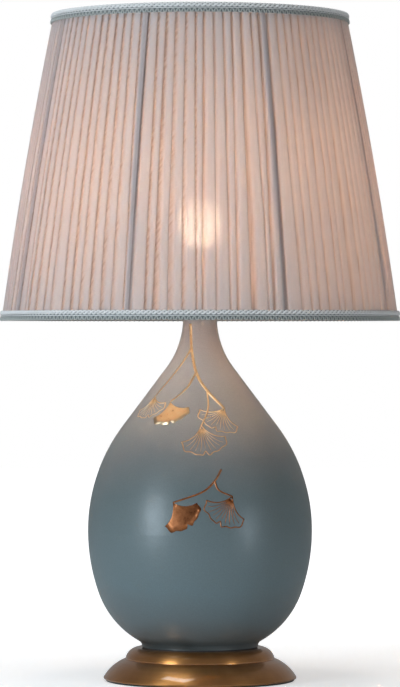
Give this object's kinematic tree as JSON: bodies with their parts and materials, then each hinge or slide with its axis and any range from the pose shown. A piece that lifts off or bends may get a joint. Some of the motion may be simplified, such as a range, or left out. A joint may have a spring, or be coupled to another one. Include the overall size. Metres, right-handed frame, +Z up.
{
  "type": "table lamp",
  "caption": "Porcelain table lamp: teardrop glazed body on a stepped brass base, with a pleated fabric shade carried by a harp over a screw-in bulb.",
  "frame": {"origin": "middle of the underside of the felt, on the surface that the lamp stands on", "axes": "+Z up along the lamp's axis, -Y towards the front, +X to the right as seen from the front"},
  "size_m": [0.3994, 0.3994, 0.664],
  "materials": {
    "felt": "pressed felt",
    "antique_brass": "antique brushed brass, lacquered",
    "cast_iron": "rough casting",
    "black_plastic": "moulded",
    "plated_steel": "zinc plated",
    "rubber": "matte",
    "porcelain_glaze": "satin glaze, grey at the neck to slate teal below, gold lustre sprigs",
    "harp_brass": "satin brass",
    "socket_brass": "bright brass",
    "insulator": "phenolic moulding",
    "aluminium": "rolled",
    "fibre": "insulating fibre",
    "knob_plastic": "moulded",
    "opal_glass": "opal, lit warm white",
    "clear_glass": "clear",
    "chiffon": "sheer pleated chiffon",
    "frame_paint": "white wire",
    "lining_cloth": "smooth translucent lining",
    "braid": "silvery braid"
  },
  "bodies": {
    "base": {"felt_pad": "felt", "base_shell": "antique_brass", "base_weight": "cast_iron", "cord_bushing": "black_plastic", "lower_washer": "plated_steel", "lower_nut": "plated_steel", "lamp_pipe": "plated_steel", "foot_gasket": "rubber", "porcelain_body": "porcelain_glaze", "neck_gasket": "rubber", "neck_cap": "antique_brass", "neck_nut": "plated_steel", "harp_saddle": "harp_brass", "harp_bow": "harp_brass", "harp_stud": "harp_brass", "socket_cap": "socket_brass", "socket_insulator": "insulator", "terminal_screws": "socket_brass", "centre_contact": "socket_brass", "screw_shell": "aluminium", "fibre_liner": "fibre", "socket_shell": "socket_brass"},
    "left_sleeve": {"harp_sleeve_left": "harp_brass"},
    "right_sleeve": {"harp_sleeve_right": "harp_brass"},
    "switch": {"switch_knob": "knob_plastic", "switch_shaft": "plated_steel"},
    "bulb": {"bulb_glass": "opal_glass", "bulb_cap": "aluminium", "bulb_contact": "insulator", "bulb_stem": "clear_glass"},
    "shade": {"shade_pleats": "chiffon", "shade_lining": "lining_cloth", "frame_ribs": "frame_paint", "top_ring": "frame_paint", "bottom_ring": "frame_paint", "bottom_trim": "braid", "top_trim": "braid", "shade_spider": "harp_brass"},
    "finial": {"finial": "antique_brass"}
  },
  "joints": [
    {"name": "shade_lift", "type": "slide", "parent": "base", "child": "shade", "axis": [0, 0, 1], "range_m": [0, 0.28]},
    {"name": "finial_turn", "type": "hinge", "parent": "shade", "child": "finial", "pos_m": [0, 0, 0.64], "axis": [0, 0, 1], "continuous": true},
    {"name": "bulb_turn", "type": "hinge", "parent": "base", "child": "bulb", "pos_m": [0, 0, 0.42], "axis": [0, 0, 1], "continuous": true},
    {"name": "switch_turn", "type": "hinge", "parent": "base", "child": "switch", "pos_m": [0, -0.02, 0.3937], "axis": [0, -1, 0], "continuous": true},
    {"name": "left_sleeve_lift", "type": "slide", "parent": "base", "child": "left_sleeve", "axis": [0, 0, 1], "range_m": [0, 0.01]},
    {"name": "right_sleeve_lift", "type": "slide", "parent": "base", "child": "right_sleeve", "axis": [0, 0, 1], "range_m": [0, 0.01]}
  ]
}
